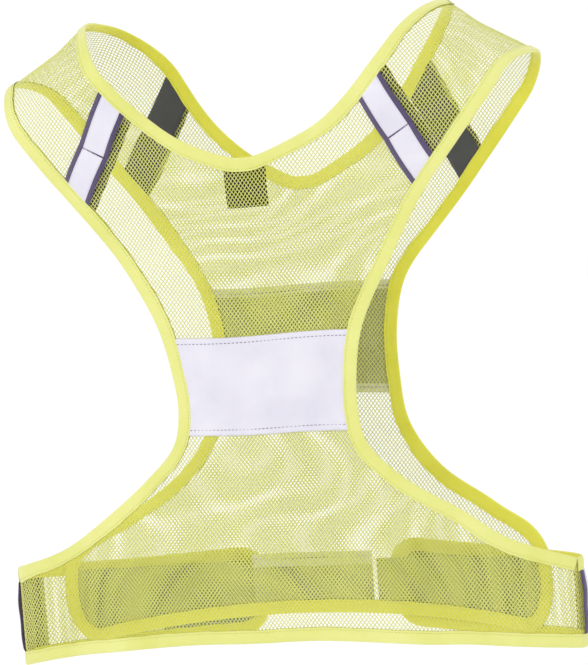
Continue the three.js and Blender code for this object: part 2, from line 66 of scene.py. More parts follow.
# ---------- sizes, in millimetres ----------
HEM = -286
TOP = 278
REST_Z = 255
WAIST_HALF = 262
WAIST_DEPTH = 112
CHEST_DEPTH = 114
SHOULDER_DEPTH = 164
ARCH_HEIGHT = 70
STRAP_SLOPE = 0.575
TOP_IN = 162
TOP_OUT = 242
FOOT_LEVEL = 200
BAND_TOP = -206
BACK_HEM = -266
FRONT_HEM = -258
BACK_NECK = 157
FRONT_NECK = 133
WING_HALF = 234
WING_LOW = -276
WING_ROUND = 30
HINGE_BACK = 8
LEFT_TIP = 44
RIGHT_TIP = 73
TAB_RADIUS = 27
LEFT_RISE = 11       # how far each tab slants upwards by its tip
RIGHT_RISE = 16
LEAN = 8             # the shoulders hang this far to the wearer's right
BODY_SHIFT = 4.5     # and everything above the waist band hangs this far to the right too
TAB_LIFT = 4.55
BINDING = 12
CLEAR = 12.5
TAPE = 30
SILVER = 21
CREST_RISE = 5.0     # the left strap's crest rises at the neck
CREST_DROP = 4.5     # and the right one drops at the armhole
FOLD_RISE = 5.5      # the left fold of the band is taller by these two
FOLD_DROP = 4.0
TUCKED = 0.42        # lift of a piece's inner face where a binding covers it
OFF_MESH = 0.85      # and where it lies on the mesh
TAPE_FACE = 1.5      # outer face of a tape
SILVER_FOOT = 1.52   # inner and outer faces of the silver on it
SILVER_FACE = 1.85
RAMP = 2.4           # a piece rises over this width out from under its binding
ARCH_LENGTH = 1.571 * math.sqrt((SHOULDER_DEPTH ** 2 / 4 + ARCH_HEIGHT ** 2) / 2)
HOLE_COLUMN = 3.5    # spacing of the knitted holes along a row
HOLE_ROW = 2.3       # spacing of the rows, each staggered by half a column
HOLE_SHARE = 0.735   # hole size against its cell
BACK, FRONT = -1, 1


def smooth(v):
    c = np.clip(v, 0, 1)
    return c * c * (3 - 2 * c)


def mix(a, b, t):
    return a + (b - a) * t


def risen(edge, hidden, early=2.0):
    """0 where a piece is tucked under a binding, 1 where it lies clear of it."""
    return smooth((edge - hidden + early) / RAMP)


# ---------- the body form, tabulated once ----------
def half_depth(z):
    low = mix(WAIST_DEPTH, CHEST_DEPTH, smooth((z + 200) / 200))
    return mix(low, SHOULDER_DEPTH, smooth((z - 10) / 175)) / 2


def half_width(z):
    return WAIST_HALF * (1 + 0.95 * smooth((z + 195) / 330))


S_LOW = HEM - 20
LEVELS = np.arange(S_LOW, TOP + 90, 1.0)
REACH = np.arange(0, 560, 1.0)


def section_angles(levels):
    angles = np.linspace(0, 3.3, 1600)
    middle = (angles[1:] + angles[:-1]) / 2
    rows = []
    for z in levels:
        w, h = half_width(z), half_depth(z)
        step = np.hypot(w * np.cos(middle), h * np.sin(middle)) * (angles[1] - angles[0])
        rows.append(np.interp(REACH, np.concatenate([[0], np.cumsum(step)]), angles))
    return np.array(rows)


def build_form():
    s = LEVELS[:, None]
    capped = np.minimum(LEVELS, FOOT_LEVEL)
    phi, own = section_angles(capped), section_angles(LEVELS)
    x = half_width(capped)[:, None] * np.sin(phi)
    foot = TOP - STRAP_SLOPE * (np.abs(x) - TOP_IN) - ARCH_HEIGHT
    turn = (s - foot) / ARCH_LENGTH * (math.pi / 2)
    low = s <= foot
    px = np.where(low, half_width(s) * np.sin(own), x)
    py = np.where(low, half_depth(s) * np.cos(own), half_depth(foot) * np.cos(phi) * np.cos(turn))
    pz = np.where(low, s, foot + ARCH_HEIGHT * np.sin(turn))
    return np.stack([px, py, pz], -1)


FORM = build_form()
NORMAL = -np.cross(np.gradient(FORM, axis=1), np.gradient(FORM, axis=0))
NORMAL /= np.linalg.norm(NORMAL, axis=-1, keepdims=True)
SHOULDER_X = half_width(FOOT_LEVEL) * np.sin(section_angles([FOOT_LEVEL])[0])
FOLD = float(np.interp(math.pi / 2, section_angles([HEM + 40])[0], REACH))
HINGE_U = FOLD - HINGE_BACK


def sample(table, u, s):
    a = np.clip(np.abs(u), 0, len(REACH) - 1.001)
    b = np.clip(s - S_LOW, 0, len(LEVELS) - 1.001)
    i, j = a.astype(int), b.astype(int)
    fa, fb = (a - i)[..., None], (b - j)[..., None]
    low = table[j, i] * (1 - fa) + table[j, i + 1] * fa
    high = table[j + 1, i] * (1 - fa) + table[j + 1, i + 1] * fa
    return low * (1 - fb) + high * fb


def top_level(u):
    x = np.interp(np.abs(u), REACH, SHOULDER_X)
    return TOP - STRAP_SLOPE * (x - TOP_IN) - ARCH_HEIGHT + ARCH_LENGTH


# Soft unevenness of the hanging cloth, shared by every layer so that none cross.
def sway(u, s, side):
    top = smooth((top_level(u) - s) / 70)
    above = smooth((s - BAND_TOP - 4) / 60)
    centre = 1 - smooth((np.abs(u) - 140) / 70)
    keep = top * np.where(side < 0, above + (1 - above) * centre, above)
    along = 0.8 * np.sin(s / 19 + 1.3 * side) + 0.6 * np.sin((u + s) / 31)
    down = 0.8 * np.sin(u / 23 + 0.7 * side) + 0.5 * np.sin((u - s) / 37)
    out = (
        1.5 * np.sin(u / 33 + 0.8 * side) * np.sin(s / 41 + 1.1)
        + 1.0 * np.sin((0.6 * u + s) / 29 + 2 * side)
        + 0.6 * np.sin((u - 0.5 * s) / 13 + side)
    )
    return along * keep, down * keep, out * keep


# The waist band as worn: the tabs slant up to their tips, and the side folds hang unevenly.
def hang(u, s, side):
    reach = np.maximum(np.abs(u) - HINGE_U, 0) * (side < 0)
    tip = np.where(u < 0, LEFT_TIP, RIGHT_TIP)
    slant = np.where(u < 0, LEFT_RISE, RIGHT_RISE) * (reach / (2 * FOLD - tip - HINGE_U)) ** 1.5
    near_fold = np.exp(-((np.abs(u) - FOLD) / 60) ** 2) * (side < 0)
    low = np.clip((BAND_TOP - s) / 80, 0, 1)
    high = np.clip((s - HEM) / 80, 0, 1) * np.clip((BAND_TOP + 60 - s) / 60, 0, 1)
    up, down = np.where(u < 0, FOLD_RISE, 0.0), np.where(u < 0, FOLD_DROP, -1.5)
    return slant + near_fold * (up * high - down * low)


def place(u, s, side, lift):
    u, s, side, lift = np.broadcast_arrays(*(np.asarray(v, float) for v in (u, s, side, lift)))
    along, down, out = sway(u, s, side)
    a, b = u + along, s + down + hang(u, s, side)
    flip = np.stack([np.where(a < 0, -1.0, 1.0), side, np.ones_like(a)], -1)
    under = np.where(side > 0, -TAB_LIFT * (1 - smooth((s + 150) / 130)), 0)
    p = (sample(FORM, a, b) + sample(NORMAL, a, b) * (lift + under + out)[..., None]) * flip
    crest = smooth((b - top_level(a) + 90) / 90)
    outer = smooth((np.abs(p[..., 0]) - 165) / 28)
    p[..., 2] += crest * np.where(a < 0, CREST_RISE * (1 - outer), -CREST_DROP * outer)
    p[..., 0] += LEAN * smooth((p[..., 2] + 150) / 400) + BODY_SHIFT * (1 - smooth((-150 - p[..., 2]) / 60))
    p[..., 2] -= REST_Z
    return p / 1000


# ---------- outlines on the pattern ----------
def resample(points, step):
    points = np.asarray(points, float)
    run = np.concatenate([[0], np.cumsum(np.linalg.norm(np.diff(points[:, :2], axis=0), axis=1))])
    count = max(2, int(round(run[-1] / step)) + 1)
    at = np.linspace(0, run[-1], count)
    return np.stack([np.interp(at, run, points[:, k]) for k in range(points.shape[1])], -1)


def curve(points, step=1.5):
    p = np.array(points, float)
    p = np.vstack([2 * p[0] - p[1], p, 2 * p[-1] - p[-2]])
    out = []
    for i in range(1, len(p) - 2):
        q = p[i - 1:i + 3]
        t = np.concatenate([[0], np.cumsum(np.sqrt(np.linalg.norm(np.diff(q, axis=0), axis=1)))])
        x = np.linspace(t[1], t[2], 24, endpoint=False)[:, None]
        a = [((t[k + 1] - x) * q[k] + (x - t[k]) * q[k + 1]) / (t[k + 1] - t[k]) for k in range(3)]
        b = [((t[k + 2] - x) * a[k] + (x - t[k]) * a[k + 1]) / (t[k + 2] - t[k]) for k in range(2)]
        out.append(((t[2] - x) * b[0] + (x - t[1]) * b[1]) / (t[2] - t[1]))
    return resample(np.vstack(out + [p[-2:-1]]), step)


strap_in, strap_out = float(top_level(TOP_IN)), float(top_level(TOP_OUT))
strap_end = [[234, strap_out - 40], [TOP_OUT - 1.6, strap_out - 15], [TOP_OUT, strap_out]]
back_arm = curve([
    [HINGE_U, BAND_TOP], [207, -183], [166, -156], [118, -123], [89, -93], [82, -62], [84, -30],
    [93, 8], [119, 60], [152, 112], [190, 158], [218, 197], *strap_end,
])
front_arm = curve([
    [WING_HALF, BAND_TOP - 25.6], [WING_HALF - 3, BAND_TOP + 3.2], [215, -183], [176, -162], [124, -128],
    [97, -90], [89, -47], [87, -6], [98, 38], [127, 79], [161, 122], [194, 162], [219, 199], *strap_end,
])
back_neck = curve([
    [0, BACK_NECK], [9, BACK_NECK + 0.7], [32, 165], [64, 180], [91, 201], [112, 222], [129, 243],
    [148, strap_in - 46], [TOP_IN - 2.6, strap_in - 18], [TOP_IN, strap_in],
])
front_neck = curve([
    [0, FRONT_NECK], [9, FRONT_NECK + 0.7], [28, 143], [54, 160], [76, 180], [92, 200], [106, 221],
    [121, 245], [145, strap_in - 46], [TOP_IN - 2.6, strap_in - 18], [TOP_IN, strap_in],
])


def hem_line(middle, end):
    t = np.linspace(0, 1, 200)
    return resample(np.stack([end[0] * t, middle + (end[1] - middle) * t * t], -1), 1.5)


def wing_end():
    a = np.linspace(math.pi / 2, 0, 40)
    top = front_arm[0]
    down = top[1] - WING_LOW
    return np.stack([top[0] - WING_ROUND * (1 - np.cos(a)), top[1] - down * np.sin(a)], -1)


def tab_edge(tip):
    start, straight = HINGE_U, 2 * FOLD - tip - TAB_RADIUS
    a = np.linspace(0, math.pi / 2, 24)
    top = np.stack([straight + TAB_RADIUS * np.sin(a), BAND_TOP - TAB_RADIUS * (1 - np.cos(a))], -1)
    low = np.stack([top[:, 0], BAND_TOP + HEM - top[:, 1]], -1)[::-1]
    return resample(np.vstack([[[start, BAND_TOP]], top, low, [[start, HEM]]]), 1.5)


back_hem = hem_line(BACK_HEM, (HINGE_U, HEM))
front_hem = np.vstack([hem_line(FRONT_HEM, wing_end()[0]), wing_end()[1:]])
back_shape = np.vstack([back_hem, back_arm, back_neck[::-1]])
front_shape = np.vstack([front_hem, front_arm, front_neck[::-1]])


def inside(u, s, shape):
    u, s = np.abs(u), np.asarray(s)
    found = np.zeros(u.shape, bool)
    ends = np.roll(shape, -1, axis=0)
    for (x0, y0), (x1, y1) in zip(shape, ends):
        if y0 != y1:
            found ^= ((y0 > s) != (y1 > s)) & (u < (x1 - x0) * (s - y0) / (y1 - y0) + x0)
    return found


def distance(u, s, *lines):
    u, s = np.abs(np.asarray(u, float)), np.asarray(s, float)
    best = np.full(u.shape, 1e9)
    for line in lines:
        for (x0, y0), (x1, y1) in zip(line[:-1:3], line[3::3]):
            dx, dy = x1 - x0, y1 - y0
            t = np.clip(((u - x0) * dx + (s - y0) * dy) / (dx * dx + dy * dy), 0, 1)
            best = np.minimum(best, np.hypot(u - x0 - t * dx, s - y0 - t * dy))
    return best


# ---------- materials ----------
def shade(
    name, dark, light, rough, weave=0.0, pitch=5.0, depth=0.15, sheen=0.2, metal=0.0, patchy=18, fuzz=0.0,
):
    """Cloth: colour runs from dark to light, roughness between the two values, a weave raises it, and painted
    shade darkens the weave's grooves.
    """
    m = bpy.data.materials.new(name)
    m.use_nodes = True
    nodes, links = m.node_tree.nodes, m.node_tree.links
    shader = next(n for n in nodes if n.type == "BSDF_PRINCIPLED")
    shader.inputs["Metallic"].default_value = metal
    shader.inputs["Sheen Weight"].default_value = sheen
    shader.inputs["Sheen Roughness"].default_value = 0.5
    spot = nodes.new("ShaderNodeTexCoord")
    broad = nodes.new("ShaderNodeTexNoise")
    broad.inputs["Scale"].default_value = patchy
    broad.inputs["Detail"].default_value = 6
    links.new(spot.outputs["Object"], broad.inputs["Vector"])
    ramp = nodes.new("ShaderNodeValToRGB")
    ramp.color_ramp.elements[0].position = 0.3
    ramp.color_ramp.elements[1].position = 0.7
    ramp.color_ramp.elements[0].color = (*dark, 1)
    ramp.color_ramp.elements[1].color = (*light, 1)
    links.new(broad.outputs["Fac"], ramp.inputs["Fac"])
    fine = nodes.new("ShaderNodeTexNoise")
    fine.inputs["Scale"].default_value = 900
    fine.inputs["Detail"].default_value = 3
    links.new(spot.outputs["Object"], fine.inputs["Vector"])
    spread = nodes.new("ShaderNodeMapRange")
    spread.inputs["To Min"].default_value = rough[0]
    spread.inputs["To Max"].default_value = rough[1]
    links.new(fine.outputs["Fac"], spread.inputs["Value"])
    links.new(spread.outputs["Result"], shader.inputs["Roughness"])
    height = fine.outputs["Fac"]
    colour = ramp.outputs["Color"]
    if weave:
        bands = []
        for axis in ("X", "Y"):
            w = nodes.new("ShaderNodeTexWave")
            w.bands_direction = axis
            w.inputs["Scale"].default_value = pitch
            w.inputs["Distortion"].default_value = 0.6
            w.inputs["Detail Scale"].default_value = 3
            links.new(spot.outputs["UV"], w.inputs["Vector"])
            bands.append(w.outputs["Fac"])
        cloth = nodes.new("ShaderNodeMath")
        cloth.operation = "MULTIPLY"
        links.new(bands[0], cloth.inputs[0])
        links.new(bands[1], cloth.inputs[1])
        grain = nodes.new("ShaderNodeMath")
        grain.operation = "MULTIPLY_ADD"
        grain.inputs[1].default_value = weave
        links.new(cloth.outputs[0], grain.inputs[0])
        links.new(fine.outputs["Fac"], grain.inputs[2])
        height = grain.outputs[0]
        # Painted shade: the same weave pattern that raises the bump darkens the colour in its low grooves.
        groove_shade = nodes.new("ShaderNodeMix")
        groove_shade.data_type = "RGBA"
        groove_shade.blend_type = "MULTIPLY"
        shadow = nodes.new("ShaderNodeValToRGB")
        shadow.color_ramp.elements[0].color = (0.86, 0.86, 0.84, 1)
        links.new(cloth.outputs[0], shadow.inputs["Fac"])
        groove_shade.inputs["Factor"].default_value = 0.6
        links.new(colour, groove_shade.inputs["A"])
        links.new(shadow.outputs["Color"], groove_shade.inputs["B"])
        colour = groove_shade.outputs["Result"]
    links.new(colour, shader.inputs["Base Color"])
    bump = nodes.new("ShaderNodeBump")
    bump.inputs["Strength"].default_value = depth
    bump.inputs["Distance"].default_value = 0.0004 + fuzz
    links.new(height, bump.inputs["Height"])
    links.new(bump.outputs["Normal"], shader.inputs["Normal"])
    return m


YARN = shade(
    "mesh_yarn", (0.69, 0.705, 0.15), (0.775, 0.79, 0.22), (0.6, 0.8), weave=0.5, pitch=9,
    depth=0.2, sheen=0.25,
)
EDGE = shade(
    "binding_cloth", (0.77, 0.785, 0.20), (0.86, 0.865, 0.30), (0.5, 0.7), weave=0.9, pitch=6.5,
    depth=0.3, sheen=0.3,
)
# Painted shade: a darker, golden copy of the binding colour for its inner leg, which lies in shade inside the
# vest.
EDGE_INNER_SHADED = shade(
    "binding_inside_painted_shade", (0.74, 0.71, 0.04), (0.84, 0.81, 0.085), (0.55, 0.75), weave=0.9, pitch=6.5,
    depth=0.3, sheen=0.3,
)
SILVER_CLOTH = shade(
    "silver_cloth", (0.74, 0.72, 0.83), (0.83, 0.81, 0.90), (0.38, 0.55), weave=0.4, pitch=8,
    depth=0.12, sheen=0.05, metal=0.15, patchy=30,
)
# Painted light: a brighter, paler copy of the silver for the turned-in bands, to offset the shade inside the
# vest.
SILVER_INSIDE_LIT = shade(
    "silver_reverse_painted_light", (0.86, 0.86, 0.88), (0.95, 0.95, 0.96), (0.45, 0.6), weave=0.4, pitch=8,
    depth=0.12, sheen=0.05,
)
PURPLE = shade(
    "webbing_cloth", (0.085, 0.062, 0.155), (0.13, 0.095, 0.215), (0.6, 0.8), weave=1.6, pitch=7,
    depth=0.6,
)
GREY = shade(
    "backing_cloth", (0.055, 0.055, 0.06), (0.085, 0.085, 0.09), (0.75, 0.92), weave=1.2, pitch=8,
    depth=0.5,
)
PATCH_BACK = shade(
    "patch_reverse", (0.43, 0.44, 0.29), (0.53, 0.53, 0.38), (0.7, 0.9), weave=1.2, pitch=8,
    depth=0.4,
)
HOOKS = shade(
    "hook_tape", (0.19, 0.20, 0.12), (0.28, 0.29, 0.17), (0.6, 0.85), weave=1.0, pitch=4, depth=0.5,
)
LOOPS = shade(
    "loop_tape", (0.26, 0.275, 0.155), (0.37, 0.38, 0.23), (0.85, 0.98), depth=0.9, fuzz=0.0008,
    patchy=160,
)
BLACK = shade(
    "label_cloth", (0.008, 0.008, 0.010), (0.018, 0.018, 0.020), (0.45, 0.6), weave=0.8, pitch=10,
    depth=0.3,
)
THREAD = shade(
    "edge_thread", (0.60, 0.68, 0.10), (0.70, 0.76, 0.14), (0.4, 0.6), weave=1.0, pitch=14,
    depth=0.4,
)
DARK_THREAD = shade(
    "dark_thread", (0.11, 0.06, 0.17), (0.18, 0.10, 0.26), (0.4, 0.6), weave=1.0, pitch=14,
    depth=0.4,
)


# ---------- mesh making ----------
def make(name, points, faces, uv, materials, kinds=None, soft=None):
    """faces is a list of index arrays of three or four columns; kinds and soft hold one value a face."""
    mesh = bpy.data.meshes.new(name)
    sizes = np.concatenate([np.full(len(f), f.shape[1]) for f in faces])
    loops = np.concatenate([f.ravel() for f in faces]).astype(np.int32)
    starts = np.concatenate([[0], np.cumsum(sizes)[:-1]]).astype(np.int32)
    mesh.vertices.add(len(points))
    mesh.vertices.foreach_set("co", np.asarray(points, np.float32).ravel())
    mesh.loops.add(len(loops))
    mesh.loops.foreach_set("vertex_index", loops)
    mesh.polygons.add(len(sizes))
    mesh.polygons.foreach_set("loop_start", starts)
    layer = mesh.uv_layers.new(name="pattern")
    layer.data.foreach_set("uv", np.asarray(uv, np.float32)[loops].ravel() / 10)
    for m in materials:
        mesh.materials.append(m)
    mesh.update(calc_edges=True)
    mesh.validate()
    smooth_faces = np.ones(len(sizes), bool) if soft is None else np.asarray(soft, bool)
    mesh.polygons.foreach_set("use_smooth", smooth_faces)
    if kinds is not None:
        mesh.polygons.foreach_set("material_index", np.asarray(kinds, np.int32))
    mesh.update()
    obj = bpy.data.objects.new(name, mesh)
    bpy.context.scene.collection.objects.link(obj)
    return obj


def facing_out(points, faces):
    volume = 0
    for f in faces:
        a = points[f[:, 0]]
        for k in range(1, f.shape[1] - 1):
            volume += np.einsum("ij,ij->i", a, np.cross(points[f[:, k]], points[f[:, k + 1]])).sum()
    return faces if volume > 0 else [f[:, ::-1] for f in faces]


def slab(name, u, s, side, low, high, materials, inner=None):
    """A closed piece of cloth between two lifts, on grids u and s. inner gives each inner face a material."""
    u, s, low, high = np.broadcast_arrays(*(np.asarray(v, float) for v in (u, s, low, high)))
    rows, columns = u.shape
    points = np.vstack([place(u, s, side, high).reshape(-1, 3), place(u, s, side, low).reshape(-1, 3)])
    ids = np.arange(rows * columns).reshape(rows, columns)
    top = np.stack([ids[:-1, :-1], ids[:-1, 1:], ids[1:, 1:], ids[1:, :-1]], -1).reshape(-1, 4)
    below = top[:, ::-1] + rows * columns
    ring = np.concatenate([ids[0, :-1], ids[:-1, -1], ids[-1, :0:-1], ids[:0:-1, 0]])
    after = np.roll(ring, -1)
    rim = np.stack([after, ring, ring + rows * columns, after + rows * columns], -1)
    faces = facing_out(points, [top, below, rim])
    kinds = np.zeros(sum(len(f) for f in faces), int)
    if inner is not None:
        kinds[len(top):2 * len(top)] = np.asarray(inner).reshape(-1)
    soft = np.ones(len(kinds), bool)
    soft[2 * len(top):] = False
    uv = np.tile(np.stack([u, s], -1).reshape(-1, 2), (2, 1))
    return make(name, points, faces, uv, materials, kinds, soft)


def grid(u0, u1, s0, s1, step):
    columns = max(2, int(round(abs(u1 - u0) / step)) + 1)
    rows = max(2, int(round(abs(s1 - s0) / step)) + 1)
    return np.meshgrid(np.linspace(u0, u1, columns), np.linspace(s0, s1, rows))


# ---------- knitted mesh ----------
def knit(name, side, shape, lines, over_top, cut_at=None):
    """Staggered holes between raised yarns. Cells stop under the bindings, and straight cuts are clean."""
    reach = shape[:, 0].max() + 6
    half = int(reach / (HOLE_COLUMN / 2))
    rows = np.arange(int(shape[:, 1].min() / HOLE_ROW) - 2, int(shape[:, 1].max() / HOLE_ROW) + 3)
    ci, cj = np.meshgrid(np.arange(-half, half + 1), rows)
    keep = (ci + cj) % 2 == 0
    ci, cj = ci[keep], cj[keep]
    u, s = ci * HOLE_COLUMN / 2, cj * HOLE_ROW
    if cut_at is not None:
        keep = (u * cut_at > 0)
        ci, cj, u, s = ci[keep], cj[keep], u[keep], s[keep]
    keep = inside(u, s, shape)
    ci, cj, u, s = ci[keep], cj[keep], u[keep], s[keep]
    keep = distance(u, s, *lines) > 2.6
    ci, cj = ci[keep], cj[keep]
    corners = np.stack([ci + 1, cj, ci, cj + 1, ci - 1, cj, ci, cj - 1], -1).reshape(-1, 2)
    key, which = np.unique(corners[:, 0] * 100003 + corners[:, 1], return_inverse=True)
    node = np.zeros((len(key), 2))
    node[which] = corners
    node *= [HOLE_COLUMN / 2, HOLE_ROW]
    which = which.reshape(-1, 4)
    centre = np.stack([ci * HOLE_COLUMN / 2, cj * HOLE_ROW], -1)[:, None, :]
    rng = np.random.default_rng(11)
    node += rng.normal(0, 0.07, node.shape)
    hole = centre + (node[which] - centre) * HOLE_SHARE
    flat_uv = np.vstack([node, hole.reshape(-1, 2)])
    lift = np.concatenate([0.2 + rng.normal(0, 0.05, len(node)), np.full(len(ci) * 4, -0.12)])
    if over_top:
        flat_uv[:, 1] = np.minimum(flat_uv[:, 1], top_level(flat_uv[:, 0]))
    if cut_at is None:
        limit = HINGE_U if side == BACK else 1e9
        flat_uv[:, 0] = np.clip(flat_uv[:, 0], -limit, limit)
    else:
        flat_uv[:, 0] = cut_at * np.maximum(np.abs(flat_uv[:, 0]), HINGE_U)
    base = len(node) + np.arange(len(ci))[:, None] * 4
    faces = []
    for k in range(4):
        n = (k + 1) % 4
        faces.append(np.stack([which[:, k], which[:, n], base[:, 0] + n, base[:, 0] + k], -1))
    faces = np.vstack(faces)
    if side == FRONT:
        faces = faces[:, ::-1]
    points = place(flat_uv[:, 0], flat_uv[:, 1], side, lift)
    obj = make(name, points, [faces], flat_uv, [YARN])
    return obj, len(ci)


# ---------- edge bindings ----------
LEG = [
    (12.0, 1.02), (11.9, 1.30), (11.3, 1.44), (10.7, 1.38), (10.0, 1.16), (9.3, 1.36), (7.4, 1.58),
    (5.0, 1.64), (2.8, 1.56), (1.3, 1.36), (0.45, 1.0), (0.06, 0.45),
]
INSIDE_LEG = [(11.6, -0.84), (6.0, -0.8), (1.7, -0.5), (1.7, 0.5), (6.0, 0.8), (11.6, 0.84)]
PROFILE = np.array(LEG + [(r, -l) for r, l in reversed(LEG)] + INSIDE_LEG)


def unit(v):
    return v / np.maximum(np.linalg.norm(v, axis=-1, keepdims=True), 1e-12)


def inward_steps(line, closed, shape):
    """For each station of an edge, how u and s change for each millimetre going into the cloth."""
    u, s, side = line.T
    centre = place(u, s, side, 0)
    if closed:
        along = unit(np.roll(centre, -1, axis=0) - np.roll(centre, 1, axis=0))
    else:
        along = unit(np.gradient(centre, axis=0))
    normal = unit(place(u, s, side, 1) - centre)
    go = unit(np.cross(along, normal))
    du = (place(u + 0.5, s, side, 0) - place(u - 0.5, s, side, 0)) * 1000
    ds = (place(u, s + 0.5, side, 0) - place(u, s - 0.5, side, 0)) * 1000
    gu = (go * du).sum(-1) / (du * du).sum(-1)
    gs = (go * ds).sum(-1) / (ds * ds).sum(-1)
    probe = len(line) // 3
    one = slice(probe, probe + 1)
    if not inside(u[one] + 6 * gu[probe], s[one] + 6 * gs[probe], shape[int(side[probe])])[0]:
        gu, gs = -gu, -gs
    return gu, gs


def binding(name, line, closed, shape, ends=(False, False)):
    gu, gs = inward_steps(line, closed, shape)
    u, s, side = line.T
    steps = np.linalg.norm(np.diff(place(u, s, side, 0), axis=0), axis=1)
    run = np.concatenate([[0], np.cumsum(steps)]) * 1000
    length = run[-1]
    wave = 1 + 0.045 * np.sin(run / 1.1) + 0.03 * np.sin(run / 2.7 + 1)
    stray = 0.18 * np.sin(run / 6.1) + 0.12 * np.sin(run / 2.9)
    reach = PROFILE[None, :, 0] + stray[:, None] * PROFILE[None, :, 0] / BINDING
    lift = PROFILE[None, :, 1] * np.where(PROFILE[None, :, 0] > 1.5, wave[:, None], 1)
    points = place(u[:, None] + reach * gu[:, None], s[:, None] + reach * gs[:, None], side[:, None], lift)
    n, m = points.shape[:2]
    ids = np.arange(n * m).reshape(n, m)
    nxt = np.roll(ids, -1, axis=0) if closed else ids[1:]
    here = ids if closed else ids[:-1]
    faces = np.stack([here, np.roll(here, -1, axis=1), np.roll(nxt, -1, axis=1), nxt], -1).reshape(-1, 4)
    faces = [faces]
    points = points.reshape(-1, 3)
    legs = len(LEG)
    if not closed:
        # Each end is shut across the thickness of the folded strip.
        pairs = list(range(2 * legs))
        matching = [2 * legs + 5 - min(5, int(6 * k / (2 * legs))) for k in pairs]
        caps = []
        for k in pairs[:-1]:
            caps.append([k, k + 1, matching[k + 1], matching[k]])
        caps = np.array(caps)
        quads = caps[caps[:, 2] != caps[:, 3]]
        tris = caps[caps[:, 2] == caps[:, 3]][:, :3]
        far = (n - 1) * m
        faces += [quads[:, ::-1], quads + far, tris[:, ::-1], tris + far]
    faces = facing_out(points, faces)
    uv = np.stack(np.broadcast_arrays(run[:, None], PROFILE[None, :, 0] + 14 * (PROFILE[None, :, 1] < 0)), -1)
    kinds = np.zeros(sum(len(f) for f in faces), int)
    ring = np.arange(m)
    # The inner leg of the binding gets the copy of the binding colour with painted shade.
    kinds[:len(faces[0])] = np.tile(((ring >= legs) & (ring < 2 * legs + 2)).astype(int), len(faces[0]) // m)
    obj = make(name, points, faces, uv.reshape(-1, 2), [EDGE, EDGE_INNER_SHADED], kinds)
    return obj, length, (u + 9.9 * gu, s + 9.9 * gs, side)


# ---------- threads ----------
def threads(rows):
    """Short stitches laid on the pattern. Each row: u, s, side, lift, du, ds, length, width."""
    r = np.array(rows, float)
    shape = np.array([
        [-0.5, 0, -1], [-0.32, 1, -0.2], [-0.32, 0, 1], [-0.32, -1, -0.2], [0.32, 1, -0.2], [0.32, 0, 1],
        [0.32, -1, -0.2], [0.5, 0, -1],
    ])
    length, width = r[:, 6:7], r[:, 7:8]
    along, across = shape[None, :, 0] * length, shape[None, :, 1] * width / 2
    u = r[:, 0:1] + along * r[:, 4:5] - across * r[:, 5:6]
    s = r[:, 1:2] + along * r[:, 5:6] + across * r[:, 4:5]
    outward = np.sign(r[:, 3:4]) * shape[None, :, 2] * width * 0.45
    points = place(u, s, r[:, 2:3], r[:, 3:4] + outward).reshape(-1, 3)
    base = (np.arange(len(r)) * 8)[:, None]
    quads = np.vstack([base + q for q in ([1, 4, 5, 2], [2, 5, 6, 3], [3, 6, 4, 1])])
    tris = np.vstack([base + t for t in ([0, 1, 2], [0, 2, 3], [0, 3, 1], [7, 5, 4], [7, 6, 5], [7, 4, 6])])
    uv = np.stack([along + 0 * u, across + 0 * u], -1).reshape(-1, 2)
    return points, quads, tris, uv


def sew(name, rows, material):
    points, quads, tris, uv = threads(rows)
    return make(name, points, [quads, tris], uv, [material])


def along_line(u, s, side, lift, pitch, length, width, skip=0):
    """Rows for stitches along a pattern line."""
    line = resample(np.stack([u, s, side], -1), pitch)
    step = np.gradient(line[:, :2], axis=0)
    step /= np.maximum(np.linalg.norm(step, axis=1, keepdims=True), 1e-9)
    rows = []
    for k in range(skip, len(line) - skip):
        rows.append([line[k, 0], line[k, 1], line[k, 2], lift, step[k, 0], step[k, 1], length, width])
    return rows


# ---------- attach a piece to its body and hide its CAD parts ---
def own(obj, body, nodes, slot_name, flat_size=None, held="stretched", on=(), area=None):
    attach(obj, body)
    if nodes:
        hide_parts(*nodes)
    return obj


VEST = "vest_body"
EDGE_STITCH = (3.1, 2.3, 0.42)   # pitch, length and width
DARK_STITCH = (3.6, 2.5, 0.5)
# The panels' yarns cover less.
AREA_FLOOR = 0.301
shapes = {BACK: back_shape, FRONT: front_shape}
cell = HOLE_COLUMN * HOLE_ROW * 1e-6
yarn_share = 1 - HOLE_SHARE ** 2


def yarn_area(cells, size):
    return max(cells * cell * yarn_share, AREA_FLOOR * size[0] * size[1])


# ---------- panels ----------
mesh_back, cells = knit("mesh_back", BACK, back_shape, [back_hem, back_arm, back_neck], True)
size = (0.54, 0.594)
own(mesh_back, VEST, ["back_mesh_panel"], "mesh", size, "hung", [], yarn_area(cells, size))
mesh_front, cells = knit("mesh_front", FRONT, front_shape, [front_hem, front_arm, front_neck], True)
size = (0.47, 0.58)
own(mesh_front, VEST, ["front_mesh_panel"], "mesh", size, "hung", [], yarn_area(cells, size))

# ---------- bindings of the body ----------
def on_side(line, side):
    return np.column_stack([line, np.full(len(line), float(side))])


def mirrored(line):
    return line * [-1, 1, 1]


edge_rows = {VEST: [], "left_tab": [], "right_tab": []}


def bind(name, line, closed, node, body=VEST, shape=None, held="stretched", on=()):
    obj, length, seam = binding(name, line, closed, shape or shapes)
    own(obj, body, [node], "binding", (0.027, length / 1000), held, on)
    for lift in (1.28, -1.28):
        edge_rows[body] += along_line(*seam, lift, *EDGE_STITCH, 1)
    return obj


